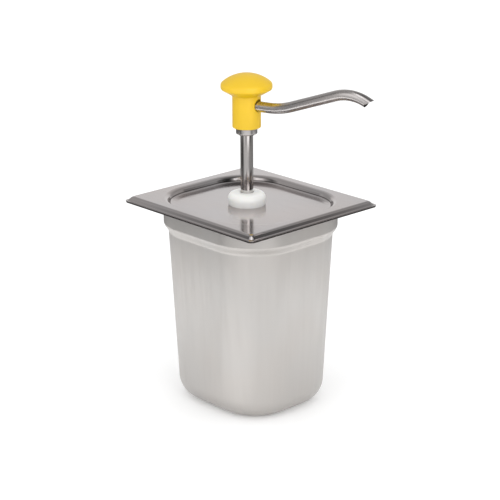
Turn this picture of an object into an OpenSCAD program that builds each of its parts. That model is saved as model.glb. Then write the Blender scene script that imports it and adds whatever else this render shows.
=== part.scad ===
// Condiment pump dispenser on a gastronorm 1/6 pan.
// Millimetres. The origin is the middle of the pan's base, +Z is up, +X runs along the rim's longer side.

/* [Pan and lid] */
// Length of the rim
rim_l = 176; // [172:1:180]
// Width of the rim
rim_w = 162; // [158:1:166]
// Height from the base to the top of the lid's rim
rim_z = 198; // [190:1:220]
// Thickness of the pressed sheet
sheet = 0.8; // [0.7:0.1:0.9]
// From the rim's edge in to the outside of the pan's upper wall
wall_inset = 12.2; // [11.5:0.1:12.5]
// How far the shoulder steps in below the upper wall
shoulder_step = 3.5; // [1:0.1:4]
// How far the tapered wall leans in from the shoulder to the base
taper = 7.4; // [4:0.1:9]
// Corner radius of the pan's upper wall
wall_corner = 49; // [45:1:50]
// Radius of the edge round the base
base_edge = 21; // [15:1:24]
// Depth of the lid's recess
recess_depth = 6; // [5:0.5:6]
// From the rim's edge in to the start of the recess
recess_inset = 13.1; // [13:0.1:14]

/* [Pump] */
// Place of the pump's axis along X
pump_x = -4.5; // [-10:0.5:10]
// Radius of the piston rod
rod_r = 6; // [6:0.5:6]
// Radius of the rod's passage
rod_bore_r = 4.5; // [4:0.1:4.8]
// Radius of the barrel's bore
bore_r = 14; // [14:0.5:14]
// Thickness of the barrel's wall
barrel_wall = 2; // [2:0.1:2.5]
// How far the knob travels when it is pressed
stroke = 48; // [30:1:50]
// Running clearance between a moving part and its guide
running = 0.05; // [0.02:0.01:0.08]
// Widest radius of the lock nut
nut_r = 18; // [17:0.5:19]
// Height of the lock nut
nut_h = 11.8; // [11:0.1:12]

/* [Head and spout] */
// Height of the head block's lower end above the rim's top
collar_z = 61.5; // [58:0.5:66]
// Radius of the head block
block_r = 10; // [9.5:0.1:10.5]
// Widest radius of the knob
cap_r = 24; // [22:0.5:26]
// Outer radius of the knob's body
knob_r = 13.3; // [13:0.1:14]
// Outer radius of the spout's tube
spout_r = 5; // [4.5:0.1:5]
// Wall thickness of the spout's tube
spout_wall = 1; // [0.8:0.1:1.2]
// Direction of the spout from +X, seen from above
spout_yaw = 15; // [0:1:45]
// Straight length of the spout from the pump's axis
spout_straight = 23.4; // [20:0.1:30]
// Radius of the spout's first bend
rise_r = 77; // [60:1:90]
// Slope of the spout's rising part
rise_angle = 19.1; // [10:0.1:25]
// Length of the spout's rising part
rise_len = 47.8; // [30:0.1:60]
// Radius of the spout's second bend
drop_r = 42; // [30:1:50]
// Slope of the spout's end, down
drop_angle = 26; // [20:1:40]
// Angle of the mouth's cut to the spout's axis
mitre = 53; // [45:1:80]

/* [Spring and valves] */
// Thickness of the spring's wire
wire_d = 1.6; // [1.2:0.1:1.8]
// Mean radius of the spring's coils
coil_r = 11.2; // [11:0.1:11.4]
// Number of the spring's coils
coils = 9; // [6:1:11]
// Radius of the delivery valve's ball
piston_ball_r = 4; // [3.5:0.1:4.2]
// Radius of the suction valve's ball
foot_ball_r = 5.5; // [5:0.1:6]
// How far each ball can lift
ball_lift = 2.5; // [1.5:0.1:2.5]
// Height of the dip tube's open end above the pan's base
dip_z = 7; // [5:0.5:12]

/* [Hidden] */

$fn = 72;
eps = 0.02;
fit = 0.05;                // gap between parts that are screwed or pushed together
corner_steps = 10;         // facets in each corner of the pan and the lid
edge_steps = 6;            // facets across a rounded edge

STEEL = "lightgray";
POLISHED = "silver";
PLASTIC = "white";
YELLOW = "gold";
SILICONE = "gainsboro";

// Pan and lid levels
lid_under_z = rim_z - sheet;
flange_z = lid_under_z - 0.1;           // top of the pan's flange
lip_drop = 3.8;                         // from the lid's rim down to its lip
lip_w = 1.6;                            // width of the lid's lip
lip_z = rim_z - lip_drop;
pan_lip_z = lip_z - sheet - 0.4;
pan_lip_back = 0.3;                     // the pan's lip stands back under the lid's
rim_slope = 4;                          // run of the slope between a lip and the flat rim
lip_corner = 4.7;                       // corner radius of the lips
rim_corner = 3;                         // corner radius of the rim's flat top
root_r = 2.2;                           // outer radius where the upper wall meets the flange
shoulder_top_z = rim_z - 22.2;
shoulder_low_z = rim_z - 32;
low_inset = wall_inset + shoulder_step;
lean = taper / shoulder_low_z;          // inset gained per millimetre of height
base_inset = wall_inset + shoulder_step + taper - lean * base_edge;
base_corner = 45;
low_corner = wall_corner - 1;
panel_z = rim_z - recess_depth;         // top of the lid's panel
recess_r = 5;                           // radius of the recess's upper bend
panel_r = 2;                            // radius of the bend from the recess's wall to the panel
recess_turn = 60;                       // slope of the recess's wall
recess_corner = 47.4;                   // corner radius where the recess starts
recess_bends = recess_r + panel_r;
recess_wall = (recess_depth - recess_bends * (1 - cos(recess_turn))) / sin(recess_turn);
panel_inset = recess_inset + recess_bends * sin(recess_turn) + recess_wall * cos(recess_turn);

// Pump levels, from the lid's panel down
gasket_h = 1.5;
gasket_r = 17.5;
neck_r = 13;
neck_top = panel_z + 7.5;
neck_bore = 9;                          // holds the bush and the seal
flange_top = panel_z - sheet - gasket_h;
barrel_flange_h = 3.5;
chamber_top = flange_top - barrel_flange_h;
barrel_r = bore_r + barrel_wall;
bush_z = chamber_top + 1.8;
bush_h = 8;
seal_h = 3.3;
stop_h = 1.5;
piston_top = chamber_top - stop_h - 0.3;
piston_h = 24;
piston_z = piston_top - piston_h;       // underside of the piston
piston_r = 13.5;
ring_h = 3;
ring_depth = 2;                         // depth of a piston groove
ring_offset = 2.5;                      // from the piston's ends to its grooves
seat_flange_h = 2;
seat_flange_r = 9.5;
seat_thread_h = 4;
seat_thread_r = 8;
seat_hole_r = 3;
seat_top = piston_z + seat_thread_h;
piston_ball_z = seat_top + sqrt(piston_ball_r * piston_ball_r - seat_hole_r * seat_hole_r);
ball_room_r = 5.5;
pin_r = 0.9;
pin_z = piston_ball_z + piston_ball_r + ball_lift + pin_r + fit;
pin_half = 7.5;
rod_low = pin_z + 1.4;                  // lower end of the rod
washer_h = 1.6;
washer_z = piston_z - 0.2 - washer_h;

// Suction valve and dip tube
pressed_len = 27;                       // length of the spring when the knob is down
spring_len = stroke + pressed_len;
foot_top = washer_z - 0.1 - spring_len;
foot_plug_h = 8;
foot_flange_h = 6;
foot_flange_z = foot_top - foot_plug_h - foot_flange_h;
barrel_low = foot_top - foot_plug_h;
foot_seat_z = foot_top - 12.5;
foot_hole_r = 4.5;
foot_room_r = 7.5;
foot_ball_z = foot_seat_z + sqrt(foot_ball_r * foot_ball_r - foot_hole_r * foot_hole_r);
cage_h = 1.2;
cage_r = 8.5;
spigot_r = 6.4;
spigot_h = 15;
dip_r = 8;

// Head levels
block_z = rim_z + collar_z;
spout_z = block_z + 27.8;
block_top = block_z + 37.5;
rod_top = block_z + 14.3;
o_ring_r = 0.75;
knob_z = block_z + 6.6;                 // lower end of the knob
cap_top = block_z + 57.5;
cap_neck = cap_top - 20.6;              // where the knob's body meets the cap's coned underside
cap_low = cap_top - 15.4;               // lower and upper level of the cap's rounded edge
cap_high = cap_top - 7.6;
cap_low_r = 2.4;
cap_high_r = 3.4;
cap_turn = 55;                          // slope where the rounded edge becomes the dome
slot_w = 11;
slot_low = spout_z - spout_r - 0.3;
slot_top = slot_low + 12;
port_depth = rod_bore_r + 1.5;          // the spout's socket starts here, from the pump's axis
spout_root = port_depth + fit;
spout_end = 1;                          // straight length between the second bend and the mouth's centre

// ---- Helpers ----

// Points of a rounded rectangle, counter-clockwise from above.
// section = [height, inset from the rim's edge, corner radius]
function ring(section) = [
    for (corner = [0:3], step = [0:corner_steps])
        let (
            r = section[2],
            cx = (rim_l / 2 - section[1] - r) * ((corner == 0 || corner == 3) ? 1 : -1),
            cy = (rim_w / 2 - section[1] - r) * (corner < 2 ? 1 : -1),
            a = 90 * (corner + step / corner_steps)
        )
        [cx + r * cos(a), cy + r * sin(a), section[0]]
];

// Closed sheet through a list of sections. The first and the last section are closed by flat caps.
module pressing(sections) {
    n = 4 * (corner_steps + 1);
    last = (len(sections) - 1) * n;
    sides = [
        for (i = [0:len(sections) - 2], j = [0:n - 1], half = [0:1])
            let (a = i * n + j, b = i * n + (j + 1) % n)
            half == 0 ? [a, b + n, b] : [a, a + n, b + n]
    ];
    caps = [[for (j = [0:n - 1]) j], [for (j = [n - 1:-1:0]) last + j]];
    polyhedron(points = [for (s = sections) each ring(s)], faces = concat(sides, caps), convexity = 8);
}

// Moves to the pump's axis at a height
module at_pump(z) {
    translate([pump_x, 0, z]) children();
}

// A plain tube or washer on the pump's axis
module pump_ring(z, h, outer, inner) {
    at_pump(z) difference() {
        cylinder(r = outer, h = h);
        translate([0, 0, -1]) cylinder(r = inner, h = h + 2);
    }
}

// A ring of round section on the pump's axis
module o_ring(z, mean_r, thick_r) {
    at_pump(z) rotate_extrude() translate([mean_r, 0]) circle(r = thick_r);
}

// Points of an arc in a profile
function arc(cx, cy, r, from, to, steps) = [
    for (i = [0:steps]) let (a = from + (to - from) * i / steps) [cx + r * cos(a), cy + r * sin(a)]
];

// ---- Pan ----

function base_round(r, z0) = [
    for (i = [0:edge_steps + 2])
        let (a = 90 * i / (edge_steps + 2), out = r * (1 - sin(a)))
        [z0 + r * (1 - cos(a)), base_inset + (base_edge - r) + out, base_corner - (base_edge - r) - out]
];

function shoulder(skin) = [
    for (i = [0:edge_steps])
        let (t = i / edge_steps, s = (1 - cos(180 * t)) / 2)
        [
            shoulder_low_z + (shoulder_top_z - shoulder_low_z) * t,
            low_inset - shoulder_step * s + skin,
            low_corner + s - skin
        ]
];

function flange_root(r) = [
    for (i = [0:edge_steps])
        let (a = 90 * i / edge_steps, out = r * cos(a))
        [
            flange_z - sheet - root_r + r * sin(a),
            wall_inset - root_r + out,
            wall_corner + root_r - out
        ]
];

function backward(list) = [for (i = [len(list) - 1:-1:0]) list[i]];

module pan() {
    lip_in = pan_lip_back + lip_w + 0.7;
    slope_in = lip_in + rim_slope - 0.3;
    color(STEEL) pressing(concat(
        base_round(base_edge, 0),
        shoulder(0),
        flange_root(root_r),
        [
            [flange_z - sheet, slope_in + 0.5, rim_corner],
            [pan_lip_z - sheet, lip_in + 0.4, lip_corner - 0.5],
            [pan_lip_z - sheet, pan_lip_back, lip_corner],
            [pan_lip_z, pan_lip_back, lip_corner],
            [pan_lip_z, lip_in, lip_corner - 0.3],
            [flange_z, slope_in, rim_corner]
        ],
        backward(flange_root(root_r + sheet)),
        backward(shoulder(sheet)),
        backward(base_round(base_edge - sheet, sheet))
    ));
}

// ---- Lid ----

// The recess's wall on the upper side (skin = 0) or on the under side (skin = sheet)
function recess(skin) = concat(
    [
        for (i = [0:edge_steps])
            let (a = recess_turn * i / edge_steps, out = (recess_r - skin) * sin(a))
            [
                rim_z - recess_r + (recess_r - skin) * cos(a),
                recess_inset + out,
                recess_corner - out
            ]
    ],
    [
        for (i = [edge_steps:-1:0])
            let (
                a = recess_turn * i / edge_steps,
                out = panel_inset - recess_inset - (panel_r + skin) * sin(a)
            )
            [
                panel_z + panel_r - (panel_r + skin) * cos(a),
                recess_inset + out,
                recess_corner - out
            ]
    ]
);

module lid() {
    color(POLISHED) difference() {
        pressing(concat(
            backward(recess(sheet)),
            [
                [lid_under_z, lip_w + rim_slope + 0.2, rim_corner],
                [lip_z - sheet, lip_w + 0.6, lip_corner - 0.3],
                [lip_z - sheet, 0, lip_corner],
                [lip_z, 0, lip_corner],
                [lip_z, lip_w, lip_corner - 0.3],
                [rim_z - 0.5, lip_w + rim_slope - 0.7, rim_corner + 0.3],
                [rim_z, lip_w + rim_slope, rim_corner]
            ],
            recess(0)
        ));
        at_pump(panel_z - 5) cylinder(r = neck_r + 0.25, h = 10);
    }
}

module lock_nut() {
    round_r = 6.2;
    side_r = 16;
    mid = nut_h - round_r;
    color(PLASTIC) at_pump(panel_z) difference() {
        rotate_extrude() polygon(concat(
            [[0, 0]],
            arc(nut_r - side_r, mid, side_r, -asin(mid / side_r), -2, edge_steps),
            arc(nut_r - round_r, mid, round_r, 0, 90, edge_steps + 4),
            [[0, nut_h]]
        ));
        translate([0, 0, -1]) cylinder(r = neck_r + fit, h = 1 + nut_h - 3.8);
        cylinder(r = rod_r + 0.3, h = nut_h + 1);
    }
}

module lid_gasket() {
    color(SILICONE) pump_ring(flange_top, gasket_h, gasket_r, neck_r + 0.25);
}

// ---- Barrel and its fixed rings ----

module barrel() {
    color(PLASTIC) at_pump(0) difference() {
        union() {
            translate([0, 0, chamber_top]) cylinder(r = neck_r, h = neck_top - chamber_top);
            translate([0, 0, chamber_top]) cylinder(r = gasket_r + 0.5, h = barrel_flange_h);
            translate([0, 0, barrel_low]) cylinder(r = barrel_r, h = chamber_top - barrel_low + 1);
        }
        translate([0, 0, barrel_low - 1]) cylinder(r = bore_r, h = chamber_top - barrel_low + 1);
        translate([0, 0, chamber_top - 1]) cylinder(r = rod_r + 0.8, h = 30);
        translate([0, 0, bush_z]) cylinder(r = neck_bore, h = 30);
    }
}

module guide_bush() {
    color(PLASTIC) pump_ring(bush_z, bush_h, neck_bore - fit, rod_r + running);
}

module rod_seal() {
    color(SILICONE) at_pump(bush_z + bush_h + fit) difference() {
        cylinder(r = neck_bore - fit, h = seal_h);
        translate([0, 0, -1]) cylinder(r = rod_r + running, h = seal_h + 2);
        translate([0, 0, seal_h - 1.8]) difference() {
            cylinder(r = neck_bore - 0.9, h = 3);
            translate([0, 0, -1]) cylinder(r = rod_r + 0.8, h = 5);
        }
    }
}

module stop_washer() {
    color(PLASTIC) pump_ring(chamber_top - stop_h, stop_h - fit, bore_r - fit, rod_r + 0.5);
}

// ---- Plunger ----

module ring_grooves() {
    for (z = [piston_z + ring_offset, piston_top - ring_offset - ring_h])
        pump_ring(z, ring_h, bore_r + 1, bore_r - running - ring_depth);
}

module piston() {
    color(PLASTIC) difference() {
        at_pump(piston_z) cylinder(r = piston_r, h = piston_h);
        ring_grooves();
        at_pump(piston_z - 1) cylinder(r = seat_thread_r + fit, h = seat_thread_h + 1);
        at_pump(seat_top - 1) cylinder(r = ball_room_r, h = rod_low - seat_top + 1);
        at_pump(rod_low) cylinder(r = rod_r + fit, h = piston_h);
        at_pump(pin_z) rotate([90, 0, 0]) cylinder(r = pin_r + eps, h = 2 * pin_half, center = true);
    }
}

module piston_ring(z) {
    color(SILICONE) pump_ring(z + fit, ring_h - 2 * fit, bore_r - running, bore_r - ring_depth);
}

module piston_ring_upper() {
    piston_ring(piston_top - ring_offset - ring_h);
}

module piston_ring_lower() {
    piston_ring(piston_z + ring_offset);
}

module piston_seat() {
    color(PLASTIC) difference() {
        union() {
            at_pump(piston_z - seat_flange_h) cylinder(r = seat_flange_r, h = seat_flange_h - fit);
            at_pump(piston_z - 1) cylinder(r = seat_thread_r, h = seat_thread_h + 1);
        }
        at_pump(piston_z - 5) cylinder(r = seat_hole_r, h = 20);
    }
}

module piston_ball() {
    color(POLISHED) at_pump(piston_ball_z + eps) sphere(r = piston_ball_r);
}

module ball_stop_pin() {
    color(POLISHED) at_pump(pin_z) rotate([90, 0, 0])
        cylinder(r = pin_r, h = 2 * pin_half - 0.2, center = true);
}

module rod() {
    color(POLISHED) pump_ring(rod_low + fit, rod_top - rod_low, rod_r, rod_bore_r);
}

module thrust_washer() {
    color(PLASTIC) pump_ring(washer_z, washer_h, bore_r - 0.6, seat_flange_r + 0.3);
}

// Height of the spring's wire after a number of turns: closed end coils, even pitch between them
function spring_height(turn) = let (
        low = foot_top + wire_d / 2 + fit,
        rise = spring_len - wire_d - 2 * fit - 2 * wire_d,
        middle = coils - 2
    )
    turn < 1 ? low + wire_d * turn
    : turn > coils - 1 ? low + wire_d + rise + wire_d * (turn - coils + 1)
    : low + wire_d + rise * (turn - 1) / middle;

module spring() {
    sides = 8;
    per_turn = 20;
    count = coils * per_turn;
    points = [
        for (i = [0:count], k = [0:sides - 1])
            let (a = 360 * i / per_turn, b = 360 * k / sides, r = coil_r + wire_d / 2 * cos(b))
            [pump_x + r * cos(a), r * sin(a), spring_height(i / per_turn) + wire_d / 2 * sin(b)]
    ];
    faces = concat(
        [
            for (i = [0:count - 1], k = [0:sides - 1], half = [0:1])
                let (a = i * sides + k, b = i * sides + (k + 1) % sides)
                half == 0 ? [a, b + sides, a + sides] : [a, b, b + sides]
        ],
        [[for (k = [sides - 1:-1:0]) k], [for (k = [0:sides - 1]) count * sides + k]]
    );
    color(POLISHED) polyhedron(points = points, faces = faces, convexity = 20);
}

// ---- Head, knob and spout ----

// Moves to the spout's plane: +X runs away from the pump's axis
module in_spout_plane() {
    at_pump(0) rotate([0, 0, spout_yaw]) children();
}

module head_block() {
    chamfer = 1.5;
    length = block_top - block_z;
    color(POLISHED) difference() {
        at_pump(block_z) rotate_extrude() polygon(concat(
            [[0, 0]],
            arc(block_r - chamfer, chamfer, chamfer, -90, 0, edge_steps),
            [[block_r, length - 1], [block_r - 1, length], [0, length]]
        ));
        at_pump(block_z - 1) cylinder(r = rod_r + fit, h = rod_top - block_z + 1 + 3 * fit + 2 * o_ring_r);
        at_pump(block_z) cylinder(r = rod_bore_r, h = spout_z - block_z + 1);
        in_spout_plane() translate([0, 0, spout_z]) rotate([0, 90, 0])
            cylinder(r = spout_r - spout_wall, h = block_r);
        in_spout_plane() translate([port_depth, 0, spout_z]) rotate([0, 90, 0])
            cylinder(r = spout_r + fit, h = block_r);
    }
}

module head_o_ring() {
    color(SILICONE) o_ring(rod_top + 2 * fit + o_ring_r, rod_r - o_ring_r, o_ring_r - eps);
}

// Points along a bend of the spout: [distance from the axis, height, slope]
function spout_bend(start, r, turn, steps) = [
    for (i = [0:steps])
        let (a = start[2] + turn * i / steps, side = turn > 0 ? 1 : -1)
        [
            start[0] + side * r * (sin(a) - sin(start[2])),
            start[1] - side * r * (cos(a) - cos(start[2])),
            a
        ]
];

function spout_step(start, length) = [
    start[0] + length * cos(start[2]),
    start[1] + length * sin(start[2]),
    start[2]
];

function last(list) = list[len(list) - 1];

// The spout's centre line, from its root to the middle of its mouth
function spout_path() = let (
        rise = spout_bend([spout_straight, spout_z, 0], rise_r, rise_angle, 8),
        drop = spout_bend(spout_step(last(rise), rise_len), drop_r, -rise_angle - drop_angle, 14)
    )
    concat([[spout_root, spout_z, 0]], rise, drop, [spout_step(last(drop), spout_end)]);

// One ring of the tube. The ring at the mouth is cut slanting.
function spout_ring(path, i, r, sides) = [
    for (k = [0:sides - 1])
        let (
            a = path[i][2],
            up = r * cos(360 * k / sides),
            out = r * sin(360 * k / sides),
            slant = i == len(path) - 1 ? up / tan(mitre) : 0
        )
        [
            path[i][0] - up * sin(a) + slant * cos(a),
            out,
            path[i][1] + up * cos(a) + slant * sin(a)
        ]
];

module spout() {
    sides = 24;
    path = spout_path();
    n = len(path);
    outside = [for (i = [0:n - 1]) each spout_ring(path, i, spout_r, sides)];
    inside = [for (i = [n - 1:-1:0]) each spout_ring(path, i, spout_r - spout_wall, sides)];
    rings = 2 * n;
    faces = [
        for (i = [0:rings - 1], k = [0:sides - 1], half = [0:1])
            let (
                a = i * sides + k,
                b = i * sides + (k + 1) % sides,
                c = ((i + 1) % rings) * sides + k,
                d = ((i + 1) % rings) * sides + (k + 1) % sides
            )
            half == 0 ? [a, d, c] : [a, b, d]
    ];
    color(POLISHED) in_spout_plane()
        polyhedron(points = concat(outside, inside), faces = faces, convexity = 8);
}

module knob() {
    // The dome is an arc that continues the cap's rounded edge
    dome_edge = cap_r - cap_high_r * (1 - cos(cap_turn));
    dome_low = cap_high - cap_high_r * (1 - sin(cap_turn));
    crown = cap_top - dome_low;
    dome_r = (dome_edge * dome_edge + crown * crown) / (2 * crown);
    dome_turn = asin(dome_edge / dome_r);
    color(YELLOW) difference() {
        at_pump(0) rotate_extrude() polygon(concat(
            [[0, knob_z]],
            arc(knob_r - 1, knob_z + 1, 1, -90, 0, 3),
            [[knob_r, cap_neck]],
            arc(cap_r - cap_low_r, cap_low + cap_low_r, cap_low_r, -60, 0, edge_steps),
            arc(cap_r - cap_high_r, cap_high - cap_high_r, cap_high_r, 0, cap_turn, edge_steps),
            arc(0, cap_top - dome_r, dome_r, 90 - dome_turn + 2, 90, edge_steps + 4)
        ));
        at_pump(knob_z - 1) cylinder(r = block_r + fit, h = block_top - knob_z + 1 + fit);
        in_spout_plane() knob_slot();
    }
}

// Upright slot with round ends that the spout passes through
module knob_slot() {
    low = slot_low + slot_w / 2;
    high = slot_top - slot_w / 2;
    for (z = [low, high])
        translate([0, 0, z]) rotate([0, 90, 0]) cylinder(r = slot_w / 2, h = knob_r + 5);
    translate([0, -slot_w / 2, low]) cube([knob_r + 5, slot_w, high - low]);
}

// ---- Suction valve ----

module foot_valve_body() {
    groove_z = foot_top - foot_plug_h / 2;
    color(PLASTIC) difference() {
        union() {
            at_pump(barrel_low - 1) cylinder(r = bore_r - fit, h = foot_plug_h + 1);
            at_pump(foot_flange_z) cylinder(r = barrel_r, h = foot_flange_h - fit);
            at_pump(foot_flange_z - spigot_h) cylinder(r = spigot_r, h = spigot_h + 1);
        }
        at_pump(foot_seat_z) cylinder(r = foot_room_r, h = 30);
        at_pump(foot_top - cage_h) cylinder(r = cage_r + fit, h = 30);
        at_pump(foot_flange_z - spigot_h - 1) cylinder(r = foot_hole_r, h = 60);
        o_ring_groove(groove_z);
    }
}

module o_ring_groove(z) {
    pump_ring(z - 1.2, 2.4, bore_r + 1, bore_r - 2);
}

module foot_o_ring() {
    color(SILICONE) o_ring(foot_top - foot_plug_h / 2, bore_r - 1 - fit / 2, 0.95 - fit / 2);
}

module foot_ball() {
    color(POLISHED) at_pump(foot_ball_z + eps) sphere(r = foot_ball_r);
}

module foot_ball_cage() {
    color(PLASTIC) difference() {
        at_pump(foot_top - cage_h) cylinder(r = cage_r, h = cage_h);
        for (i = [0:2])
            at_pump(foot_top - 5) rotate([0, 0, 120 * i]) translate([4.6, 0, 0]) cylinder(r = 2.6, h = 10);
    }
}

module dip_tube() {
    notch_r = 3;
    color(PLASTIC) difference() {
        pump_ring(dip_z, foot_flange_z - fit - dip_z, dip_r, spigot_r + fit);
        for (a = [0, 90])
            at_pump(dip_z) rotate([90, 0, a])
                cylinder(r = notch_r, h = 3 * dip_r, center = true);
    }
}

pan();
lid();
lock_nut();
lid_gasket();
barrel();
guide_bush();
rod_seal();
stop_washer();
thrust_washer();
spring();
piston();
piston_ring_upper();
piston_ring_lower();
piston_seat();
piston_ball();
ball_stop_pin();
rod();
head_block();
head_o_ring();
spout();
knob();
foot_valve_body();
foot_o_ring();
foot_ball();
foot_ball_cage();
dip_tube();
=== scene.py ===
from math import asin, atan2, cos, degrees, pi, radians, sin, tan

import bmesh
import bpy
from mathutils import Matrix, Vector


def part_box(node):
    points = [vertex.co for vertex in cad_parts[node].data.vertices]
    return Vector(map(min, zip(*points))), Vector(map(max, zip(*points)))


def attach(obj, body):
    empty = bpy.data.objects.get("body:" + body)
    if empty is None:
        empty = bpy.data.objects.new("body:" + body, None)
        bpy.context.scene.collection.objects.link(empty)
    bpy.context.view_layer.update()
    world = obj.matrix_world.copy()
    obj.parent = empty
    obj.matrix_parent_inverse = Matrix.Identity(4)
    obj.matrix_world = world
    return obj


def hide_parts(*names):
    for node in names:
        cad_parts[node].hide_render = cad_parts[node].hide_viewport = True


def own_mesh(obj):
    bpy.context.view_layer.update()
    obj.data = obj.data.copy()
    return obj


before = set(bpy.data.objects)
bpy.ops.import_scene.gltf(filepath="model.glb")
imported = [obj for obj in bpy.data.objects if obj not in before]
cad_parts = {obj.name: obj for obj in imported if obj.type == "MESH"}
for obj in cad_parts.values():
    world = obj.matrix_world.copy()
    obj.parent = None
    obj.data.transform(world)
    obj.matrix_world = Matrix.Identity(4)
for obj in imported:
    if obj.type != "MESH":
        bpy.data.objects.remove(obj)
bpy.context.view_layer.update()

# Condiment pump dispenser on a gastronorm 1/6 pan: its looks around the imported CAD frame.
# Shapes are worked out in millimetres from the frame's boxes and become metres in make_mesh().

MM = 0.001


# ---------------------------------------------------------------- sizes

def node_box(node):
    """Lowest and highest corner of a CAD node in millimetres."""
    low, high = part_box(node)
    return low / MM, high / MM


def span(node):
    """Radius, lowest and highest level of a round CAD node on the pump's axis."""
    low, high = node_box(node)
    return (high.x - low.x) / 2, low.z, high.z


LID_LOW, LID_HIGH = node_box("lid")
ROD_LOW, ROD_HIGH = node_box("rod")
AXIS_X = (ROD_LOW.x + ROD_HIGH.x) / 2
RIM_L = LID_HIGH.x - LID_LOW.x
RIM_W = LID_HIGH.y - LID_LOW.y
RIM_Z = LID_HIGH.z
FLANGE_Z = node_box("pan")[1].z
SHEET = 0.8
FIT = 0.05
YAW = radians(15)       # the spout's direction from +X


# ---------------------------------------------------------------- mesh helpers

def make_mesh(name, points, faces, sharp=32):
    """A closed mesh from points in millimetres, smooth but for edges over `sharp` degrees."""
    mesh = bpy.data.meshes.new(name)
    mesh.from_pydata([(x * MM, y * MM, z * MM) for x, y, z in points], [], faces)
    bm = bmesh.new()
    bm.from_mesh(mesh)
    bmesh.ops.remove_doubles(bm, verts=bm.verts, dist=1e-7)
    bmesh.ops.recalc_face_normals(bm, faces=bm.faces)
    bm.to_mesh(mesh)
    bm.free()
    for face in mesh.polygons:
        face.use_smooth = True
    mesh.set_sharp_from_angle(angle=radians(sharp))
    obj = bpy.data.objects.new(name, mesh)
    bpy.context.scene.collection.objects.link(obj)
    return obj


def skin_faces(count, n, closed=False):
    """Faces between neighbours in a row of rings, each of n points."""
    faces = []
    for i in range(count if closed else count - 1):
        a = i * n
        b = (i + 1) % count * n
        for j in range(n):
            k = (j + 1) % n
            faces.append((a + j, a + k, b + k, b + j))
    return faces


def join_rings(rings, closed=False):
    """Points and faces of a skin over rings of equal length, with end caps unless it is closed."""
    n = len(rings[0])
    points = [p for ring in rings for p in ring]
    faces = skin_faces(len(rings), n, closed)
    if not closed:
        faces.append(tuple(range(n)))
        faces.append(tuple(range(len(points) - n, len(points))))
    return points, faces


def arc(cx, cz, r, start, end, steps):
    """Points of an arc in a profile, angles in degrees."""
    turns = [radians(start + (end - start) * i / steps) for i in range(steps + 1)]
    return [(cx + r * cos(a), cz + r * sin(a)) for a in turns]


def fillet(corners, closed=True, steps=5):
    """A profile through corners (r, z, fillet radius), each rounded by its own radius."""
    out = []
    n = len(corners)
    for i, (x, z, r) in enumerate(corners):
        here = Vector((x, z))
        if r <= 0 or (not closed and i in (0, n - 1)):
            out.append((x, z))
            continue
        before = Vector(corners[i - 1][:2]) - here
        after = Vector(corners[(i + 1) % n][:2]) - here
        room = min(before.length, after.length) * 0.49
        before.normalize()
        after.normalize()
        half = before.angle(after) / 2
        if half > radians(88):
            out.append((x, z))
            continue
        back = min(r / tan(half), room)
        radius = back * tan(half)
        centre = here + (before + after).normalized() * (radius / sin(half))
        a = here + before * back - centre
        b = here + after * back - centre
        turn = a.angle(b)
        for k in range(steps + 1):
            t = k / steps
            w = (a * sin((1 - t) * turn) + b * sin(t * turn)) / sin(turn)
            out.append((centre.x + w.x, centre.y + w.y))
    return out


def lathe(name, profile, closed=True, around=128, sharp=32):
    """Turns a profile of (r, z) about the pump's axis."""
    angles = [2 * pi * k / around for k in range(around)]
    rings = []
    for r, z in profile:
        r = max(r, 1e-4)
        rings.append([(AXIS_X + r * cos(a), r * sin(a), z) for a in angles])
    return make_mesh(name, *join_rings(rings, closed), sharp=sharp)


def tube(name, inner, outer, low, high, edge=0.25):
    """A tube or washer with rounded edges."""
    corners = [(inner, low, edge), (outer, low, edge), (outer, high, edge), (inner, high, edge)]
    return lathe(name, fillet(corners))


CORNER_STEPS = 28


def rounded_ring(z, inset, corner):
    """A ring round the pan or lid: height, distance in from the rim's edge, corner radius."""
    ring = []
    for quarter in range(4):
        cx = (RIM_L / 2 - inset - corner) * (1 if quarter in (0, 3) else -1)
        cy = (RIM_W / 2 - inset - corner) * (1 if quarter < 2 else -1)
        for step in range(CORNER_STEPS + 1):
            a = pi / 2 * (quarter + step / CORNER_STEPS)
            ring.append((cx + corner * cos(a), cy + corner * sin(a), z))
    return ring


def round_ring(z, r, like):
    """A circle on the pump's axis whose points face those of the ring `like`."""
    ring = []
    for x, y, _ in like:
        a = atan2(y, x - AXIS_X)
        ring.append((AXIS_X + r * cos(a), r * sin(a), z))
    return ring


def cut(target, *tools):
    """Cuts tools out of target for good."""
    for tool in tools:
        mod = target.modifiers.new("cut", "BOOLEAN")
        mod.object = tool
        mod.operation = "DIFFERENCE"
        mod.solver = "EXACT"
    apply_modifiers(target)
    for tool in tools:
        bpy.data.objects.remove(tool)


def apply_modifiers(obj):
    bpy.context.view_layer.update()
    graph = bpy.context.evaluated_depsgraph_get()
    mesh = bpy.data.meshes.new_from_object(obj.evaluated_get(graph))
    obj.modifiers.clear()
    obj.data = mesh
    for face in mesh.polygons:
        face.use_smooth = True


def soften(obj, width, segments=3, angle=35):
    """Rounds the sharp edges that a cut leaves."""
    mod = obj.modifiers.new("soften", "BEVEL")
    mod.width = width * MM
    mod.segments = segments
    mod.limit_method = "ANGLE"
    mod.angle_limit = radians(angle)
    mod.harden_normals = False
    apply_modifiers(obj)
    obj.data.set_sharp_from_angle(angle=radians(32))


def flat_normals(obj):
    """Keeps large flat faces flat next to small rounded edges."""
    mod = obj.modifiers.new("normals", "WEIGHTED_NORMAL")
    mod.keep_sharp = True
    mod.weight = 60


# ---------------------------------------------------------------- materials

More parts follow.
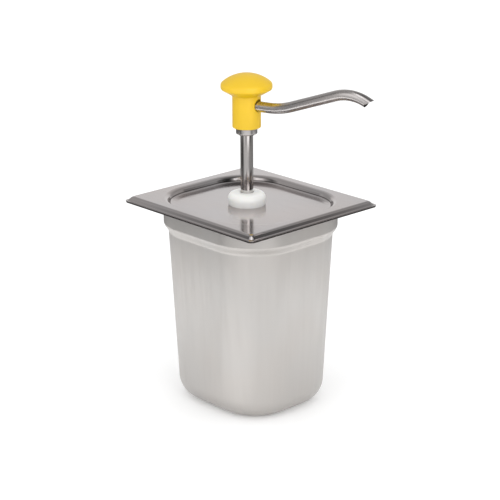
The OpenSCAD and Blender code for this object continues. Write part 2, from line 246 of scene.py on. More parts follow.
class Look:
    """Builds one procedural material on a Principled shader."""

    def __init__(self, name, colour, roughness, metallic=0.0):
        self.mat = bpy.data.materials.new(name)
        self.mat.use_nodes = True
        self.nodes = self.mat.node_tree.nodes
        self.links = self.mat.node_tree.links
        self.shader = self.nodes["Principled BSDF"]
        self.shader.inputs["Metallic"].default_value = metallic
        self.shader.inputs["Base Color"].default_value = (*colour, 1)
        self.shader.inputs["Roughness"].default_value = roughness
        self.place = self.nodes.new("ShaderNodeTexCoord").outputs["Object"]

    def scaled(self, scale, turn=(0, 0, 0)):
        mapping = self.nodes.new("ShaderNodeMapping")
        mapping.inputs["Scale"].default_value = scale
        mapping.inputs["Rotation"].default_value = turn
        self.links.new(self.place, mapping.inputs["Vector"])
        return mapping.outputs["Vector"]

    def noise(self, scale, detail=4.0, rough=0.55, stretch=(1, 1, 1), turn=(0, 0, 0)):
        node = self.nodes.new("ShaderNodeTexNoise")
        node.inputs["Scale"].default_value = scale
        node.inputs["Detail"].default_value = detail
        node.inputs["Roughness"].default_value = rough
        self.links.new(self.scaled(stretch, turn), node.inputs["Vector"])
        return node.outputs["Fac"]

    def ranged(self, value, low, high, to_low=0.0, to_high=1.0):
        node = self.nodes.new("ShaderNodeMapRange")
        node.inputs["From Min"].default_value = low
        node.inputs["From Max"].default_value = high
        node.inputs["To Min"].default_value = to_low
        node.inputs["To Max"].default_value = to_high
        self.links.new(value, node.inputs["Value"])
        return node.outputs["Result"]

    def math(self, kind, a, b):
        node = self.nodes.new("ShaderNodeMath")
        node.operation = kind
        for socket, value in zip(node.inputs, (a, b)):
            if isinstance(value, (int, float)):
                socket.default_value = value
            else:
                self.links.new(value, socket)
        return node.outputs["Value"]

    def mix(self, factor, a, b):
        """Mixes two colours, or a colour and a colour output, by a factor output."""
        node = self.nodes.new("ShaderNodeMix")
        node.data_type = "RGBA"
        self.links.new(factor, node.inputs["Factor"])
        for socket, value in ((node.inputs["A"], a), (node.inputs["B"], b)):
            if isinstance(value, tuple):
                socket.default_value = (*value, 1)
            else:
                self.links.new(value, socket)
        return node.outputs["Result"]

    def colour(self, output):
        self.links.new(output, self.shader.inputs["Base Color"])
        return self

    def rough(self, output):
        self.links.new(output, self.shader.inputs["Roughness"])
        return self

    def bump(self, height, distance):
        """Bump of a height in millimetres, on top of any bump that is there."""
        node = self.nodes.new("ShaderNodeBump")
        node.inputs["Strength"].default_value = 1.0
        node.inputs["Distance"].default_value = distance * MM
        self.links.new(height, node.inputs["Height"])
        if self.shader.inputs["Normal"].links:
            self.links.new(self.shader.inputs["Normal"].links[0].from_socket, node.inputs["Normal"])
        self.links.new(node.outputs["Normal"], self.shader.inputs["Normal"])
        return self


def steel(name, tone, roughness, spread, grain, bump, patches=0.03):
    """Stainless steel: a grain stretched along `grain`, cloudy tone, fine scratches."""
    look = Look(name, tone, roughness, metallic=1.0)
    lines = look.noise(1.0, detail=6, rough=0.6, stretch=grain)
    cloud = look.noise(14, detail=3, rough=0.5)
    warm = tuple(min(1, c * f) for c, f in zip(tone, (1 + patches, 1.0, 1 - patches * 0.6)))
    cool = tuple(c * f for c, f in zip(tone, (1 - patches, 1 - patches * 0.5, 1.0)))
    look.colour(look.mix(look.ranged(cloud, 0.3, 0.7), cool, warm))
    scratch = look.ranged(look.noise(1.0, 8, 0.7, tuple(g * 2.3 for g in grain), (0.3, 0.2, 0.4)), 0.62, 0.72)
    level = look.math("ADD", look.ranged(lines, 0.3, 0.7, roughness - spread, roughness + spread),
                      look.math("MULTIPLY", scratch, spread * 0.6))
    look.rough(look.math("ADD", level, look.ranged(cloud, 0.3, 0.7, -spread / 2, spread / 2)))
    look.bump(lines, bump)
    return look


def paint_lip_edge_shade(look, low, high, tone):
    """Paints shade onto the sheet's edge between two levels: a dark band that stands in for the shadow and
    the dark reflection in the gap under the lid's lip.
    """
    split = look.nodes.new("ShaderNodeSeparateXYZ")
    look.links.new(look.place, split.inputs["Vector"])
    level = split.outputs["Z"]
    above = look.math("GREATER_THAN", level, low * MM)
    below = look.math("LESS_THAN", level, high * MM)
    steel_tone = look.shader.inputs["Base Color"].links[0].from_socket
    look.colour(look.mix(look.math("MULTIPLY", above, below), steel_tone, tone))


MOULD_TEXTURE = 1760    # scale of the fine texture that a mould leaves


def plastic(name, colour, roughness, glow, glow_radius, bump):
    """Moulded plastic: faint colour drift, uneven sheen, fine mould texture."""
    look = Look(name, colour, roughness)
    drift = look.noise(30, detail=3)
    darker = tuple(c * 0.93 for c in colour)
    look.colour(look.mix(look.ranged(drift, 0.3, 0.7), darker, colour))
    sheen = look.noise(90, detail=4, rough=0.6)
    look.rough(look.ranged(sheen, 0.3, 0.7, roughness - 0.05, roughness + 0.05))
    look.bump(look.noise(MOULD_TEXTURE, detail=5, rough=0.6), bump)
    look.shader.inputs["Subsurface Weight"].default_value = glow
    look.shader.inputs["Subsurface Radius"].default_value = (1.0, 0.8, 0.5)
    look.shader.inputs["Subsurface Scale"].default_value = glow_radius * MM
    return look


PAN_STEEL = steel("pan_steel", (0.497, 0.480, 0.463), 0.40, 0.05, (260, 260, 9), 0.012, 0.015)
LID_STEEL = steel("lid_steel", (0.57, 0.535, 0.53), 0.14, 0.04, (40, 420, 40), 0.004)
BRIGHT_STEEL = steel("bright_steel", (0.62, 0.60, 0.59), 0.13, 0.04, (380, 380, 12), 0.005)
TUBE_STEEL = steel("tube_steel", (0.60, 0.57, 0.56), 0.25, 0.05, (12, 420, 420), 0.006)
SPRING_STEEL = steel("spring_steel", (0.52, 0.51, 0.50), 0.28, 0.05, (300, 300, 300), 0.008)
YELLOW = plastic("yellow_plastic", (0.78, 0.50, 0.006), 0.40, 0.06, 1.2, 0.02)
WHITE = plastic("white_plastic", (0.82, 0.82, 0.80), 0.40, 0.12, 2.0, 0.012)
BEARING = plastic("bearing_plastic", (0.78, 0.79, 0.78), 0.55, 0.08, 1.0, 0.02)
SILICONE = plastic("silicone", (0.66, 0.68, 0.69), 0.58, 0.20, 2.5, 0.02)


def finish_piece(obj, look, body, slot, *nodes):
    """Gives a piece its material and its body, and hides the CAD nodes that it stands for; the slot argument
    is not used.
    """
    obj.data.materials.clear()
    obj.data.materials.append(look.mat)
    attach(obj, body)
    if nodes:
        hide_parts(*nodes)
    return obj


# ---------------------------------------------------------------- pan and lid

# Insets are measured in from the rim's edge
WALL_INSET = 12.2       # upper wall
STEP = 3.5              # how far the shoulder steps in
LOW_INSET = WALL_INSET + STEP
SHOULDER_HIGH = RIM_Z - 22.2
SHOULDER_LOW = RIM_Z - 32
TAPER = 7.4             # how far the lower wall leans in
BASE_EDGE = 21
BASE_CORNER = 45
WALL_CORNER = 49
ROOT = 2.2              # bend from the wall out to the flange
LIP = 1.6               # flat edge of the lid, outside its slope
LIP_Z = RIM_Z - 3.8
PAN_LIP_Z = LIP_Z - SHEET - 0.4
RIM_SLOPE = 4
# Painted shade: dark bands on the edges of the pan's and the lid's lips stand in for the shadow and the dark
# reflection in the narrow gap between the two lips.
paint_lip_edge_shade(PAN_STEEL, PAN_LIP_Z - SHEET - 0.1, PAN_LIP_Z - 0.02, (0.08, 0.07, 0.07))
paint_lip_edge_shade(LID_STEEL, LIP_Z - SHEET - 0.1, LIP_Z - 0.25, (0.14, 0.12, 0.12))


def wall_inset(z):
    """How far the tapered wall stands in from the rim's edge at a height."""
    return LOW_INSET + TAPER * (1 - z / SHOULDER_LOW)


def base_round(r, z0):
    """Rings round the edge of the base, from the floor up to the wall."""
    side = wall_inset(BASE_EDGE) + BASE_EDGE - r
    corner = BASE_CORNER - (BASE_EDGE - r)
    steps = 16
    rings = []
    for i in range(steps + 1):
        out = r * (1 - sin(pi / 2 * i / steps))
        rings.append((z0 + r * (1 - cos(pi / 2 * i / steps)), side + out, corner - out))
    return rings


def shoulder(skin):
    """Rings up the soft step between the lower and the upper wall."""
    steps = 14
    rings = []
    for i in range(steps + 1):
        s = (1 - cos(pi * i / steps)) / 2
        z = SHOULDER_LOW + (SHOULDER_HIGH - SHOULDER_LOW) * i / steps
        rings.append((z, LOW_INSET - STEP * s + skin, WALL_CORNER - 1 + s - skin))
    return rings


def walls(skin):
    """Rings up the tapered wall, so that its corners blend evenly."""
    rings = []
    steps = 6
    for i in range(1, steps):
        z = BASE_EDGE + (SHOULDER_LOW - BASE_EDGE) * i / steps
        corner = BASE_CORNER + (WALL_CORNER - 1 - BASE_CORNER) * i / steps
        rings.append((z, wall_inset(z) + skin, corner - skin))
    return rings


def flange_root(r):
    """Rings round the bend from the upper wall to the flange."""
    steps = 8
    rings = []
    for i in range(steps + 1):
        a = pi / 2 * i / steps
        out = r * cos(a)
        z = FLANGE_Z - SHEET - ROOT + r * sin(a)
        rings.append((z, WALL_INSET - ROOT + out, WALL_CORNER + ROOT - out))
    return rings


def lip_path(corners, steps=4):
    """Rings from (z, inset, corner radius, fillet) corners of a folded lip."""
    profile = fillet([(inset, z, f) for z, inset, _, f in corners], closed=False, steps=steps)
    rings = []
    for inset, z in profile:
        nearest = min(corners, key=lambda c: abs(c[1] - inset) + abs(c[0] - z))
        rings.append((z, inset, nearest[2]))
    return rings


def build_pan():
    back = 0.3
    lip_in = back + LIP + 0.7
    slope_in = lip_in + RIM_SLOPE - 0.3
    lip = lip_path([
        (FLANGE_Z - SHEET, slope_in + 3.2, 8, 0),
        (FLANGE_Z - SHEET, slope_in + 0.5, 3.4, 0.8),
        (PAN_LIP_Z - SHEET, lip_in + 0.4, 4.2, 0.8),
        (PAN_LIP_Z - SHEET, back, 4.7, 0.3),
        (PAN_LIP_Z, back, 4.7, 0.3),
        (PAN_LIP_Z, lip_in, 4.4, 0.8),
        (FLANGE_Z, slope_in, 3.4, 0.8),
        (FLANGE_Z, slope_in + 3, 8, 0),
    ])
    sections = base_round(BASE_EDGE, 0) + walls(0) + shoulder(0) + flange_root(ROOT) + lip
    sections += flange_root(ROOT + SHEET)[::-1] + shoulder(SHEET)[::-1] + walls(SHEET)[::-1]
    sections += base_round(BASE_EDGE - SHEET, SHEET)[::-1]
    pan = make_mesh("pan_shell", *join_rings([rounded_ring(*s) for s in sections]), sharp=40)
    flat_normals(pan)
    return finish_piece(pan, PAN_STEEL, "pan", "pan_steel", "pan")


RECESS_INSET = 13.1
RECESS_R = 5            # bend at the recess's upper edge
PANEL_R = 2             # bend at the foot of its wall
SOFT_R = 25             # soft run from there to the panel
SOFT_TURN = radians(10)
RECESS_TURN = radians(60)
RECESS_DEPTH = 6
RECESS_CORNER = 47.4
PANEL_Z = RIM_Z - RECESS_DEPTH
SOFT_RUN = (SOFT_R - PANEL_R) * sin(SOFT_TURN)
SOFT_RISE = (SOFT_R - PANEL_R) * (1 - cos(SOFT_TURN))
RECESS_WALL = (RECESS_DEPTH - SOFT_RISE - (RECESS_R + PANEL_R) * (1 - cos(RECESS_TURN))) / sin(RECESS_TURN)
PANEL_INSET = (RECESS_INSET + SOFT_RUN + (RECESS_R + PANEL_R) * sin(RECESS_TURN)
               + RECESS_WALL * cos(RECESS_TURN))
LID_HOLE = 13.25        # radius of the hole for the pump's neck


def recess(skin):
    """Rings from the rim's flat down the recess's wall, round its bend and softly out to the panel."""
    steps = 9
    rings = []
    for i in range(steps + 1):
        a = RECESS_TURN * i / steps
        out = (RECESS_R - skin) * sin(a)
        rings.append((RIM_Z - RECESS_R + (RECESS_R - skin) * cos(a), RECESS_INSET + out, RECESS_CORNER - out))
    width = PANEL_INSET - RECESS_INSET
    for i in range(steps, -1, -1):
        a = SOFT_TURN + (RECESS_TURN - SOFT_TURN) * i / steps
        out = width - SOFT_RUN - (PANEL_R + skin) * sin(a)
        rings.append((PANEL_Z + SOFT_RISE + PANEL_R - (PANEL_R + skin) * cos(a), RECESS_INSET + out,
                      RECESS_CORNER - out))
    for i in range(steps - 1, -1, -1):
        a = SOFT_TURN * i / steps
        out = width - (SOFT_R + skin) * sin(a)
        rings.append((PANEL_Z + SOFT_R - (SOFT_R + skin) * cos(a), RECESS_INSET + out, RECESS_CORNER - out))
    return rings


def panel(z):
    """Rings across the panel, from its edge to the pump's hole."""
    inset = PANEL_INSET + 0.6
    edge = rounded_ring(z, inset, RECESS_CORNER + RECESS_INSET - inset)
    hole = round_ring(z, LID_HOLE, edge)
    rings = []
    for t in (0.35, 0.7, 1.0):
        rings.append([tuple(a + (b - a) * t for a, b in zip(p, q)) for p, q in zip(edge, hole)])
    return rings


def build_lid():
    lip = lip_path([
        (RIM_Z - SHEET, LIP + RIM_SLOPE + 3.2, 8, 0),
        (RIM_Z - SHEET, LIP + RIM_SLOPE + 0.3, 3.4, 0.5),
        (LIP_Z - SHEET, LIP + 0.6, 4.4, 0.5),
        (LIP_Z - SHEET, 0, 4.7, 0.3),
        (LIP_Z, 0, 4.7, 0.3),
        (LIP_Z, LIP + 0.2, 4.4, 2.6),
        (RIM_Z, LIP + RIM_SLOPE - 0.6, 3.6, 5.2),
        (RIM_Z, LIP + RIM_SLOPE + 3.4, 8, 0),
    ], steps=8)
    under = panel(PANEL_Z - SHEET)[::-1] + [rounded_ring(*s) for s in recess(SHEET)[::-1]]
    over = [rounded_ring(*s) for s in recess(0)] + panel(PANEL_Z)
    rings = under + [rounded_ring(*s) for s in lip] + over
    lid = make_mesh("lid_pressing", *join_rings(rings, closed=True), sharp=40)
    flat_normals(lid)
    return finish_piece(lid, LID_STEEL, "lid", "lid_steel", "lid")


# ---------------------------------------------------------------- pump, fixed to the lid

BORE_R = 14
NECK_R = 13
SPIGOT_R = 6.4


def build_nut():
    """Turned nut: a bellied side, a well rounded top and a small flat around the rod."""
    r, low, high = span("lock_nut")
    roll = 6.2
    side = 16
    thread = 13.2
    hole = 6.3
    roof = high - 3.6
    mid = high - roll
    lean = degrees(asin((mid - low) / side))
    profile = [(thread, low)] + arc(r - side, mid, side, -lean, -2, 12)
    profile += arc(r - roll, mid, roll, 0, 90, 20)
    profile += fillet([(8, high, 0), (hole, high, 0.4), (hole, roof, 0), (thread, roof, 0)], closed=False)
    nut = lathe("lock_nut_turned", profile, sharp=40)
    return finish_piece(nut, WHITE, "lid", "white_plastic", "lock_nut")


def build_gasket():
    r, low, high = span("lid_gasket")
    gasket = tube("lid_gasket_ring", 13.3, r, low, high, 0.4)
    return finish_piece(gasket, SILICONE, "lid", "silicone", "lid_gasket")


def build_barrel():
    """Cylinder with its flange, its threaded neck and a rounded foot."""
    r, low, high = span("barrel")
    outer = BORE_R + 2
    flange_high = node_box("lid_gasket")[0].z
    flange_low = flange_high - 3.5
    corners = [(BORE_R, low, 0.3), (outer, low, 0.6), (outer, flange_low, 1.5), (r, flange_low, 0.5),
               (r, flange_high, 0.5), (NECK_R, flange_high, 0.3)]
    z = flange_high + 1.6
    pitch = 1.5
    groove = NECK_R - 0.6
    while z < high - 2:
        corners += [(NECK_R, z, 0.1), (groove, z + pitch * 0.3, 0.1), (groove, z + pitch * 0.55, 0.1),
                    (NECK_R, z + pitch * 0.85, 0.1)]
        z += pitch
    seat = 9            # holds the guide bush and the rod's seal
    hole = 6.8
    shelf = flange_low + 1.8
    corners += [(NECK_R, high, 0.6), (seat, high, 0.3), (seat, shelf, 0.2), (hole, shelf, 0.2),
                (hole, flange_low, 0.2), (BORE_R, flange_low, 0.5)]
    barrel = lathe("barrel_moulding", fillet(corners, steps=4), sharp=40)
    return finish_piece(barrel, WHITE, "lid", "white_plastic", "barrel")


def build_foot_valve():
    """Valve body: plug with a ring groove, flange, spigot, and the room of the ball with its seat."""
    r, low, high = span("foot_valve_body")
    flange = low + 15
    top = flange + 6 - FIT
    plug = BORE_R - FIT
    groove = plug - 1.95
    groove_low = high - 5.2
    groove_high = high - 2.8
    hole = 4.5
    room = 7.5
    seat = flange + 1.5
    cage = 8.55
    cage_low = high - 1.2
    corners = [(hole, low, 0.4), (SPIGOT_R, low, 0.6), (SPIGOT_R, flange, 0.4), (r, flange, 0.8),
               (r, top, 0.6), (plug, top, 0.1), (plug, groove_low, 0.15), (groove, groove_low, 0.2),
               (groove, groove_high, 0.2), (plug, groove_high, 0.15), (plug, high, 0.5),
               (cage, high, 0.2), (cage, cage_low, 0.1), (room, cage_low, 0.1), (room, seat, 0.4),
               (hole, seat, 0.8)]
    body = lathe("foot_valve_turned", fillet(corners, steps=4), sharp=40)
    return finish_piece(body, WHITE, "lid", "white_plastic", "foot_valve_body")


def bar_across(radius, length, turn):
    """A round cutter through the origin, lying level."""
    angles = [2 * pi * k / 48 for k in range(48)]
    rings = []
    for x in (-length / 2, length / 2):
        rings.append([(x, radius * cos(a), radius * sin(a)) for a in angles])
    cutter = make_mesh("cutter", *join_rings(rings))
    cutter.data.transform(Matrix.Rotation(turn, 4, "Z"))
    return cutter


def build_dip_tube():
    """Suction tube with two round notches across its lower end."""
    r, low, high = span("dip_tube")
    notch = 3
    dip = tube("dip_tube_cut", SPIGOT_R + FIT, r, low, high, 0.3)
    cutters = []
    for turn in (0, pi / 2):
        cutter = bar_across(notch, 40, turn)
        cutter.data.transform(Matrix.Translation((AXIS_X * MM, 0, low * MM)))
        cutters.append(cutter)
    cut(dip, *cutters)
    soften(dip, 0.25, 2)
    return finish_piece(dip, WHITE, "lid", "white_plastic", "dip_tube")


SPRING_LEN = 75
WIRE = 1.6
COIL_R = 11.2
COILS = 9


def spring_level(turn, low):
    """Height of the wire after a number of turns: closed ends, even pitch between them."""
    rise = SPRING_LEN - 3 * WIRE - 2 * FIT
    if turn < 1:
        return low + WIRE * turn
    if turn > COILS - 1:
        return low + WIRE + rise + WIRE * (turn - COILS + 1)
    return low + WIRE + rise * (turn - 1) / (COILS - 2)


def build_spring():
    low = node_box("spring")[0].z
    per_turn = 40
    sides = 14
    rings = []
    for i in range(COILS * per_turn + 1):
        a = 2 * pi * i / per_turn
        z = spring_level(i / per_turn, low + WIRE / 2)
        ring = []
        for k in range(sides):
            b = 2 * pi * k / sides
            r = COIL_R + WIRE / 2 * cos(b)
            ring.append((AXIS_X + r * cos(a), r * sin(a), z + WIRE / 2 * sin(b)))
        rings.append(ring)
    spring = make_mesh("spring_wire", *join_rings(rings), sharp=60)
    finish_piece(spring, SPRING_STEEL, "lid", "spring_steel", "spring")
    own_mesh(spring)
    return spring


# ---------------------------------------------------------------- plunger: rod, head, knob, spout

ROD_BORE = 4.5
ROD_SOCKET = 6.05       # radius of the rod's socket in the head block


def build_rod():
    r, low, high = span("rod")
    rod = tube("rod_tube", ROD_BORE, r, low, high, 0.4)
    return finish_piece(rod, BRIGHT_STEEL, "plunger", "polished_steel", "rod")


SPOUT_R = 5
SPOUT_WALL = 1
SPOUT_STRAIGHT = 23.4
RISE_R = 77
RISE_ANGLE = radians(19.1)
RISE_LEN = 47.8
DROP_R = 42
DROP_ANGLE = radians(26)
SPOUT_END = 1
MITRE = radians(53)
SPOUT_Z = node_box("head_block")[0].z + 27.8


def bend(start, r, turn, steps):
    """Points (distance, height, slope) along a bend."""
    x, z, slope = start
    side = 1 if turn > 0 else -1
    points = []
    for i in range(steps + 1):
        a = slope + turn * i / steps
        points.append((x + side * r * (sin(a) - sin(slope)), z - side * r * (cos(a) - cos(slope)), a))
    return points


def spout_path():
    rise = bend((SPOUT_STRAIGHT, SPOUT_Z, 0), RISE_R, RISE_ANGLE, 16)
    x, z, a = rise[-1]
    top = bend((x + RISE_LEN * cos(a), z + RISE_LEN * sin(a), a), DROP_R, -RISE_ANGLE - DROP_ANGLE, 26)
    x, z, a = top[-1]
    end = (x + SPOUT_END * cos(a), z + SPOUT_END * sin(a), a)
    return [(ROD_SOCKET, SPOUT_Z, 0)] + rise + top + [end]


def spout_ring(point, r, mouth=False):
    """One ring of the tube; the mouth's rings lean by the mitre."""
    x, z, a = point
    around = 64
    ring = []
    for k in range(around):
        up = r * cos(2 * pi * k / around)
        out = r * sin(2 * pi * k / around)
        lean = up / tan(MITRE) if mouth else 0
        s = x - up * sin(a) + lean * cos(a)
        ring.append((AXIS_X + s * cos(YAW) - out * sin(YAW), s * sin(YAW) + out * cos(YAW),
                     z + up * cos(a) + lean * sin(a)))
    return ring


def build_spout():
    path = spout_path()
    inner_r = SPOUT_R - SPOUT_WALL
    edge = 0.2
    x, z, a = path[-1]
    rings = [spout_ring(p, SPOUT_R) for p in path[:-1]]
    for r, back in ((SPOUT_R, edge), (SPOUT_R - edge, 0), (inner_r + edge, 0), (inner_r, edge)):
        rings.append(spout_ring((x - back * cos(a), z - back * sin(a), a), r, mouth=True))
    rings += [spout_ring(p, inner_r) for p in path[:-1][::-1]]
    spout = make_mesh("spout_tube", *join_rings(rings, closed=True), sharp=50)
    return finish_piece(spout, TUBE_STEEL, "plunger", "polished_steel", "spout")


def build_head():
    """Turned block with the rod's bore. Its rounded lower edge is the collar under the knob."""
    r, low, high = span("head_block")
    socket_top = ROD_HIGH.z + 1.6
    bore_top = SPOUT_Z + 1
    corners = [(ROD_SOCKET, low, 0.3), (r, low, 1.6), (r, high, 1.0), (1e-3, high, 0), (1e-3, bore_top, 0),
               (ROD_BORE, bore_top, 0.2), (ROD_BORE, socket_top, 0.1), (ROD_SOCKET, socket_top, 0.1)]
    block = lathe("head_block_turned", fillet(corners), sharp=40)
    port = bar_across(SPOUT_R + FIT, 2 * r, 0)
    port.data.transform(Matrix.Translation(((r + 6) * MM, 0, 0)))
    flow = bar_across(SPOUT_R - SPOUT_WALL, 10, 0)
    flow.data.transform(Matrix.Translation((5 * MM, 0, 0)))
    for cutter in (port, flow):
        cutter.data.transform(Matrix.Rotation(YAW, 4, "Z"))
        cutter.data.transform(Matrix.Translation((AXIS_X * MM, 0, SPOUT_Z * MM)))
    cut(block, port, flow)
    block.data.set_sharp_from_angle(angle=radians(40))
    return finish_piece(block, BRIGHT_STEEL, "plunger", "polished_steel", "head_block")


def slot_cutter(low, high, width):
    """Upright round-ended bar that cuts the knob's slot, out along the spout."""
    r = width / 2
    outline = []
    for centre, start in ((high - r, 0), (low + r, 180)):
        for k in range(33):
            a = radians(start + 180 * k / 32)
            outline.append((r * cos(a), centre + r * sin(a)))
    rings = [[(x, y, z) for y, z in outline] for x in (0, 30)]
    cutter = make_mesh("cutter", *join_rings(rings))
    cutter.data.transform(Matrix.Rotation(YAW, 4, "Z"))
    cutter.data.transform(Matrix.Translation((AXIS_X * MM, 0, 0)))
    return cutter


def build_knob():
    """Moulded mushroom: hollow body, coned underside, rounded rim and a shallow dome."""
    cap_r, low, high = span("knob")
    body_r = 13.3
    bore = 10.1
    block_high = node_box("head_block")[1].z
    neck = high - 20.6
    rim_low = high - 15.4
    rim_high = high - 7.6
    low_r = 2.4
    high_r = 3.4
    turn = 55
    dome_edge = cap_r - high_r * (1 - cos(radians(turn)))
    dome_low = rim_high - high_r * (1 - sin(radians(turn)))
    rise = high - dome_low
    dome_r = (dome_edge ** 2 + rise ** 2) / (2 * rise)
    half = asin(dome_edge / dome_r)
    roof = block_high + 0.1
    profile = [(bore, roof), (bore, low + 0.4), (bore + 0.4, low)]
    profile += arc(body_r - 0.9, low + 0.9, 0.9, -90, 0, 6)
    cone = [(body_r, neck - 6, 0), (body_r, neck, 0.5), (cap_r - 1.2, rim_low + 0.3, 0)]
    profile += fillet(cone, closed=False)[1:-1]
    profile += arc(cap_r - low_r, rim_low + low_r, low_r, -60, 0, 10)
    profile += arc(cap_r - high_r, rim_high - high_r, high_r, 0, turn, 10)
    steps = 26
    for i in range(1, steps + 1):
        a = half * (1 - i / steps)
        profile.append((dome_r * sin(a), high - dome_r + dome_r * cos(a)))
    profile.append((1e-4, roof))
    knob = lathe("knob_moulding", profile, closed=False, around=160, sharp=40)
    slot_low = SPOUT_Z - SPOUT_R - 0.3
    cut(knob, slot_cutter(slot_low, slot_low + 12, 11))
    soften(knob, 0.35, 3, 40)
    return finish_piece(knob, YELLOW, "plunger", "yellow_plastic", "knob")


# ---------------------------------------------------------------- CAD nodes that stay

KEPT = {
    "guide_bush": (BEARING, "bearing_plastic"),
    "rod_seal": (SILICONE, "silicone"),
    "stop_washer": (BEARING, "bearing_plastic"),
    "thrust_washer": (BEARING, "bearing_plastic"),
    "piston": (WHITE, "white_plastic"),
    "piston_ring_upper": (SILICONE, "silicone"),
    "piston_ring_lower": (SILICONE, "silicone"),
    "piston_seat": (WHITE, "white_plastic"),
    "piston_ball": (BRIGHT_STEEL, "polished_steel"),
    "ball_stop_pin": (BRIGHT_STEEL, "polished_steel"),
    "head_o_ring": (SILICONE, "silicone"),
    "foot_o_ring": (SILICONE, "silicone"),
    "foot_ball": (BRIGHT_STEEL, "polished_steel"),
    "foot_ball_cage": (BEARING, "bearing_plastic"),
}


def dress_kept_nodes():
    for node, (look, slot) in KEPT.items():
        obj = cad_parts[node]
        obj.data.materials.clear()
        obj.data.materials.append(look.mat)


# ---------------------------------------------------------------- studio

VIEW = 47.08            # the camera's azimuth: 0 is -Y, counter-clockwise


def build_camera():
    """Camera at the product shot's angle: long lens, a little above the rim."""
    azimuth = radians(VIEW)
    elevation = radians(18.5)
    roll = radians(-0.227)
    distance = 1.535
    target = Vector((0.1112, -0.1040, RIM_Z * MM))
    away = Vector((sin(azimuth) * cos(elevation), -cos(azimuth) * cos(elevation), sin(elevation)))
    camera = bpy.data.objects.new("camera", bpy.data.cameras.new("camera"))
    camera.data.lens = 129.15
    camera.data.sensor_width = 36
    camera.data.clip_end = 50
    turn = away.to_track_quat("Z", "Y").to_matrix().to_4x4() @ Matrix.Rotation(roll, 4, "Z")
    camera.matrix_world = Matrix.Translation(target + away * distance) @ turn
    bpy.context.scene.collection.objects.link(camera)
    bpy.context.scene.camera = camera


def build_floor():
    """White floor, wide enough to reach past every view."""
    half = 12000
    corners = [(-half, -half, 0), (half, -half, 0), (half, half, 0), (-half, half, 0)]
    floor = make_mesh("floor", corners, [(0, 1, 2, 3)])
    look = Look("floor", (0.93, 0.93, 0.93), 0.9)
    look.colour(look.mix(look.noise(3, 2), (0.925, 0.925, 0.925), (0.935, 0.935, 0.935)))
    look.shader.inputs["Emission Color"].default_value = (1, 1, 1, 1)
    look.shader.inputs["Emission Strength"].default_value = 0.13
    floor.data.materials.append(look.mat)


def area_light(name, azimuth, elevation, distance, size, power):
    """A softbox that looks at the object from an azimuth and an elevation in degrees."""
    light = bpy.data.lights.new(name, "AREA")
    light.shape = "RECTANGLE"
    light.size, light.size_y = size
    light.energy = power
    obj = bpy.data.objects.new(name, light)
    a, e = radians(azimuth), radians(elevation)
    away = Vector((sin(a) * cos(e), -cos(a) * cos(e), sin(e)))
    place = Vector((0, 0, 0.18)) + away * distance
    obj.matrix_world = Matrix.Translation(place) @ away.to_track_quat("Z", "Y").to_matrix().to_4x4()
    bpy.context.scene.collection.objects.link(obj)


def build_world():
    """Even white light from every side."""
    world = bpy.data.worlds.new("studio")
    bpy.context.scene.world = world
    world.use_nodes = True
    background = world.node_tree.nodes["Background"]
    background.inputs["Color"].default_value = (1, 1, 1, 1)
    background.inputs["Strength"].default_value = 1.08


def blend(x, stops):
    """Smooth level at x between stops (place, level)."""
    if x <= stops[0][0]:
        return stops[0][1]
    for (x0, a), (x1, b) in zip(stops, stops[1:]):
        if x <= x1:
            t = (x - x0) / (x1 - x0)
            return a + (b - a) * t * t * (3 - 2 * t)
    return stops[-1][1]


# What the polished metal mirrors, in layers from the floor up. Each stop is an angle in degrees to the
# right of the camera and the light's level there.
BASE = ((-180, 0.6), (-140, 1.0), (-100, 1.0), (-78, 0.4), (-45, 0.4), (-20, 1.0), (140, 1.0), (180, 0.6))
FOOT = ((-180, 0.2), (-140, 0.2), (-115, 0.56), (-85, 0.56), (-70, 0.2), (-50, 0.5), (-20, 0.9),
        (30, 0.9), (60, 0.2), (75, 0.7), (112, 0.7), (140, 0.2), (180, 0.2))
BELOW = ((-180, 0.15), (-140, 0.18), (-118, 0.16), (-95, 0.05), (-72, 0.05), (-44, 0.6), (0, 0.66),
         (20, 0.6), (45, 0.33), (105, 0.28), (135, 0.25), (180, 0.15))
LEVEL = ((-180, 0.86), (-160, 0.8), (-145, 0.4), (-105, 0.4), (-90, 0.2), (-61, 0.2), (-50, 0.85),
         (-40, 0.85), (-28, 0.42), (4, 0.5), (12, 1.8), (40, 1.8), (50, 0.2), (58, 0.02), (75, 0.02),
         (85, 0.08), (94, 0.12), (106, 0.5), (145, 0.4), (160, 0.8), (180, 0.86))
SIDES = ((-180, 0.65), (-150, 0.45), (-128, 0.42), (-108, 0.5), (-96, 0.25), (-85, 0.1), (-70, 0.3),
         (-52, 1.0), (-36, 1.3), (-26, 0.6), (4, 0.6), (12, 1.7), (38, 1.7), (48, 0.3), (56, 0.03),
         (74, 0.03), (84, 0.12), (92, 0.15), (103, 0.42), (118, 0.4), (135, 0.32), (150, 0.45), (180, 0.65))
ABOVE = ((-180, 0.4), (-60, 0.3), (-30, 0.9), (-16, 1.6), (10, 1.6), (30, 0.5), (50, 0.15), (100, 0.15),
         (180, 0.4))
# Angles above the rim's level between which each layer gives way to the next
JOINS = ((-21, -19), (-15, -12), (-6, -2), (19, 25), (50, 60))


def tent_level(turn, height):
    """Brightness of the tent at an angle from the camera and an angle above the rim."""
    layers = [blend(turn, part) for part in (BASE, FOOT, BELOW, LEVEL, SIDES, ABOVE)]
    out = layers[0]
    for layer, (start, end) in zip(layers[1:], JOINS):
        out += (layer - out) * blend(height, ((start, 0), (end, 1)))
    return out


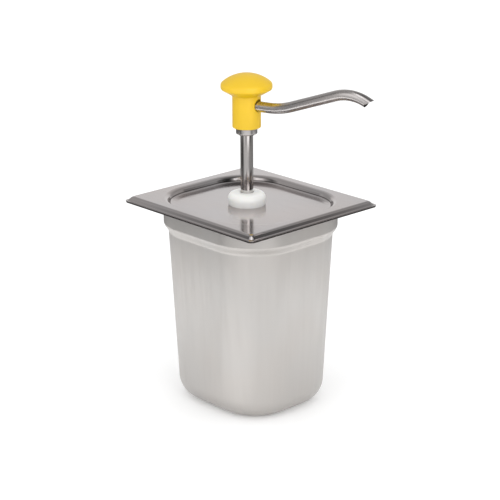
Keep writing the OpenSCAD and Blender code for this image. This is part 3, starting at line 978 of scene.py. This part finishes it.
def glowing_mesh(name, points, faces, levels, see_through=False):
    """A studio surface that glows by the level at each point and that only the reflections see."""
    mesh = bpy.data.meshes.new(name)
    mesh.from_pydata(points, [], faces)
    glow = mesh.color_attributes.new("glow", "FLOAT_COLOR", "POINT")
    for datum, level in zip(glow.data, levels):
        datum.color = (level, level, level, 1)
    sheet = bpy.data.objects.new(name, mesh)
    bpy.context.scene.collection.objects.link(sheet)
    cloth = bpy.data.materials.new(name)
    cloth.use_nodes = True
    nodes, links = cloth.node_tree.nodes, cloth.node_tree.links
    nodes.clear()
    attribute = nodes.new("ShaderNodeVertexColor")
    attribute.layer_name = "glow"
    surface = nodes.new("ShaderNodeEmission").outputs["Emission"]
    links.new(attribute.outputs["Color"], surface.node.inputs["Color"])
    if see_through:
        both = nodes.new("ShaderNodeAddShader")
        links.new(surface, both.inputs[0])
        links.new(nodes.new("ShaderNodeBsdfTransparent").outputs["BSDF"], both.inputs[1])
        surface = both.outputs["Shader"]
    links.new(surface, nodes.new("ShaderNodeOutputMaterial").inputs["Surface"])
    mesh.materials.append(cloth)
    for kind in ("camera", "diffuse", "transmission", "volume_scatter", "shadow"):
        setattr(sheet, "visible_" + kind, False)


TENT_R = 0.48           # metres
TENT_CENTRE = 0.2


def build_tent():
    """Light tent that only the reflections see: bright cloth with dark gaps, as in a product studio."""
    around, up = 240, 110
    lowest = degrees(asin((0.003 - TENT_CENTRE) / TENT_R))
    points, levels = [], []
    for j in range(up + 1):
        e = lowest + (89.5 - lowest) * j / up
        for i in range(around):
            turn = 360 * i / around - 180
            a = radians(turn + VIEW)
            flat = TENT_R * cos(radians(e))
            points.append((flat * sin(a), -flat * cos(a), TENT_CENTRE + TENT_R * sin(radians(e))))
            levels.append(tent_level(turn, e))
    glowing_mesh("tent", points, skin_faces(up + 1, around), levels)


# The same kind of stops for the floor near the pan and far from it, and distances in metres
NEAR_TURN = ((-75, 0), (-50, 0.22), (-20, 0.22), (10, 0))
NEAR_RUN = ((0.07, 0), (0.1, 1), (0.3, 1), (0.44, 0))
FAR_TURN = ((-135, 0), (-105, 0.35), (-70, 0.35), (-20, 0.1), (20, 0.1), (60, 0.35), (100, 0.35), (130, 0))
FAR_RUN = ((0.12, 0), (0.36, 1))


def floor_level(turn, r):
    """Extra brightness that the reflections see on the floor."""
    near = blend(turn, NEAR_TURN)
    far = blend(turn, FAR_TURN)
    return near * blend(r, NEAR_RUN) + far * blend(r, FAR_RUN)


def build_reflector():
    """Bright cloth round the pan on the floor, which only the reflections see."""
    near, far = 0.06, 0.44
    around, along = 96, 24
    points, levels = [], []
    for j in range(along + 1):
        r = near + (far - near) * j / along
        for i in range(around):
            turn = 360 * i / around - 180
            a = radians(turn + VIEW)
            points.append((r * sin(a), -r * cos(a), 0.002))
            levels.append(floor_level(turn, r))
    glowing_mesh("reflector", points, skin_faces(along + 1, around), levels, see_through=True)


def build_studio():
    build_camera()
    build_floor()
    build_world()
    build_tent()
    build_reflector()
    area_light("key", 72, 24, 1.8, (1.2, 1.2), 6)
    area_light("fill", 12, 20, 2.0, (1.4, 1.4), 5)
    scene = bpy.context.scene
    scene.view_settings.view_transform = "Standard"
    scene.view_settings.look = "None"


build_studio()
build_pan()
build_lid()
build_nut()
build_gasket()
build_barrel()
build_foot_valve()
build_dip_tube()
build_spring()
build_rod()
build_head()
build_knob()
build_spout()
dress_kept_nodes()
